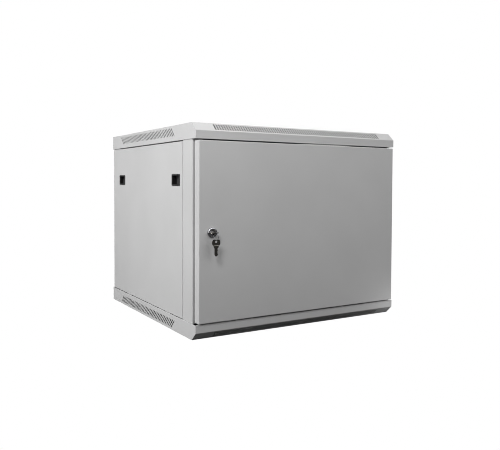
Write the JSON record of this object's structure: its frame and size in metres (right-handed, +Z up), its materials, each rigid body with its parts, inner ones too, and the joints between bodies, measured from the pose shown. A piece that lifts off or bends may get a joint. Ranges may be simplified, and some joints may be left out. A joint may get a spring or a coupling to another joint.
{
  "type": "wall mount network cabinet",
  "caption": "Wall mount network cabinet with a hinged lockable solid door, vented folded covers, lift-off side panels with spring latches and adjustable rack rails.",
  "frame": {"origin": "centre of the underside, on the bottom cover", "axes": "+X to the right seen from the front, +Y from the door to the wall, +Z up"},
  "size_m": [0.6, 0.6363, 0.501],
  "materials": {
    "grey_powder_coat": "light grey powder coat, fine texture, low gloss",
    "galvanised_steel": "galvanised sheet, faint spangle",
    "zinc_plate": "bright zinc plate",
    "spring_steel": "drawn wire, smooth",
    "black_abs": "moulded, fine grain",
    "dark_grey_nylon": "moulded, satin",
    "black_pvc": "extruded edge trim, satin",
    "white_nylon": "moulded, satin",
    "buffer_rubber": "moulded rubber, matt",
    "lock_chrome": "dark chrome plate on die-cast zinc",
    "nickel_plate": "nickel plate, worn smooth",
    "earth_brass": "turned brass"
  },
  "bodies": {
    "frame": {"back_entry_trim": "black_pvc", "back_panel": "grey_powder_coat", "back_screws": "zinc_plate", "bar_screws": "zinc_plate", "bottom_cable_plate": "grey_powder_coat", "bottom_cover": "grey_powder_coat", "depth_bar_lower_left": "galvanised_steel", "depth_bar_lower_right": "galvanised_steel", "depth_bar_upper_left": "galvanised_steel", "depth_bar_upper_right": "galvanised_steel", "door_buffers": "buffer_rubber", "earth_nut_frame": "zinc_plate", "earth_stud_frame": "earth_brass", "frame_screws_bottom": "zinc_plate", "frame_screws_top": "zinc_plate", "front_post_left": "grey_powder_coat", "front_post_right": "grey_powder_coat", "hinge_bushes": "white_nylon", "latch_housings_left": "black_abs", "latch_housings_right": "black_abs", "latch_spring_front_left": "spring_steel", "latch_spring_front_right": "spring_steel", "latch_spring_rear_left": "spring_steel", "latch_spring_rear_right": "spring_steel", "plate_screws_bottom": "zinc_plate", "plate_screws_top": "zinc_plate", "rack_rail_front_left": "galvanised_steel", "rack_rail_front_right": "galvanised_steel", "rack_rail_rear_left": "galvanised_steel", "rack_rail_rear_right": "galvanised_steel", "rail_nuts": "zinc_plate", "rail_screws": "zinc_plate", "rear_post_left": "grey_powder_coat", "rear_post_right": "grey_powder_coat", "side_panel_left": "grey_powder_coat", "side_panel_right": "grey_powder_coat", "top_cable_plate": "grey_powder_coat", "top_cover": "grey_powder_coat"},
    "door": {"door": "grey_powder_coat", "door_stiffener": "grey_powder_coat", "hinge_brackets": "grey_powder_coat", "hinge_pin_lower": "zinc_plate", "hinge_spring": "spring_steel", "lock_body": "lock_chrome", "lock_nut": "zinc_plate", "earth_stud_door": "earth_brass", "earth_nut_door": "zinc_plate"},
    "lock_core": {"lock_plug": "lock_chrome", "lock_cam": "zinc_plate", "cam_screw": "zinc_plate", "key_in_lock": "nickel_plate"},
    "key_ring": {"key_ring": "spring_steel"},
    "spare_key": {"spare_key": "nickel_plate"},
    "hinge_pin": {"hinge_pin_upper": "zinc_plate"},
    "latch_front_left": {"latch_slide_front_left": "dark_grey_nylon"},
    "latch_front_right": {"latch_slide_front_right": "dark_grey_nylon"},
    "latch_rear_left": {"latch_slide_rear_left": "dark_grey_nylon"},
    "latch_rear_right": {"latch_slide_rear_right": "dark_grey_nylon"}
  },
  "joints": [
    {"name": "door_hinge", "type": "hinge", "parent": "frame", "child": "door", "pos_m": [0.285, -0.294, 0.25052], "axis": [0, 0, 1], "range_deg": [0, 180]},
    {"name": "lock_turn", "type": "hinge", "parent": "door", "child": "lock_core", "pos_m": [-0.261, -0.309, 0.249], "axis": [0, 1, 0], "range_deg": [0, 90]},
    {"name": "key_ring_swing", "type": "hinge", "parent": "door", "child": "key_ring", "pos_m": [-0.261, -0.3189, 0.249], "axis": [0, 0, 1], "range_deg": [0, 90]},
    {"name": "spare_key_swing", "type": "hinge", "parent": "key_ring", "child": "spare_key", "pos_m": [-0.261, -0.3257, 0.23155], "axis": [0, 1, 0], "range_deg": [-30, 30]},
    {"name": "hinge_pin_slide", "type": "slide", "parent": "door", "child": "hinge_pin", "axis": [0, 0, -1], "range_m": [0, 0.008], "stiffness_N_per_m": 800, "springref_m": -0.004, "deforming": ["hinge_spring"]},
    {"name": "latch_front_left_slide", "type": "slide", "parent": "frame", "child": "latch_front_left", "axis": [0, 0, 1], "range_m": [0, 0.006], "stiffness_N_per_m": 300, "springref_m": -0.004, "deforming": ["latch_spring_front_left"]},
    {"name": "latch_front_right_slide", "type": "slide", "parent": "frame", "child": "latch_front_right", "axis": [0, 0, 1], "range_m": [0, 0.006], "stiffness_N_per_m": 300, "springref_m": -0.004, "deforming": ["latch_spring_front_right"]},
    {"name": "latch_rear_left_slide", "type": "slide", "parent": "frame", "child": "latch_rear_left", "axis": [0, 0, 1], "range_m": [0, 0.006], "stiffness_N_per_m": 300, "springref_m": -0.004, "deforming": ["latch_spring_rear_left"]},
    {"name": "latch_rear_right_slide", "type": "slide", "parent": "frame", "child": "latch_rear_right", "axis": [0, 0, 1], "range_m": [0, 0.006], "stiffness_N_per_m": 300, "springref_m": -0.004, "deforming": ["latch_spring_rear_right"]}
  ],
  "couplings": [
    {"joint": "key_ring_swing", "follows": "lock_turn", "ratio": 1}
  ]
}
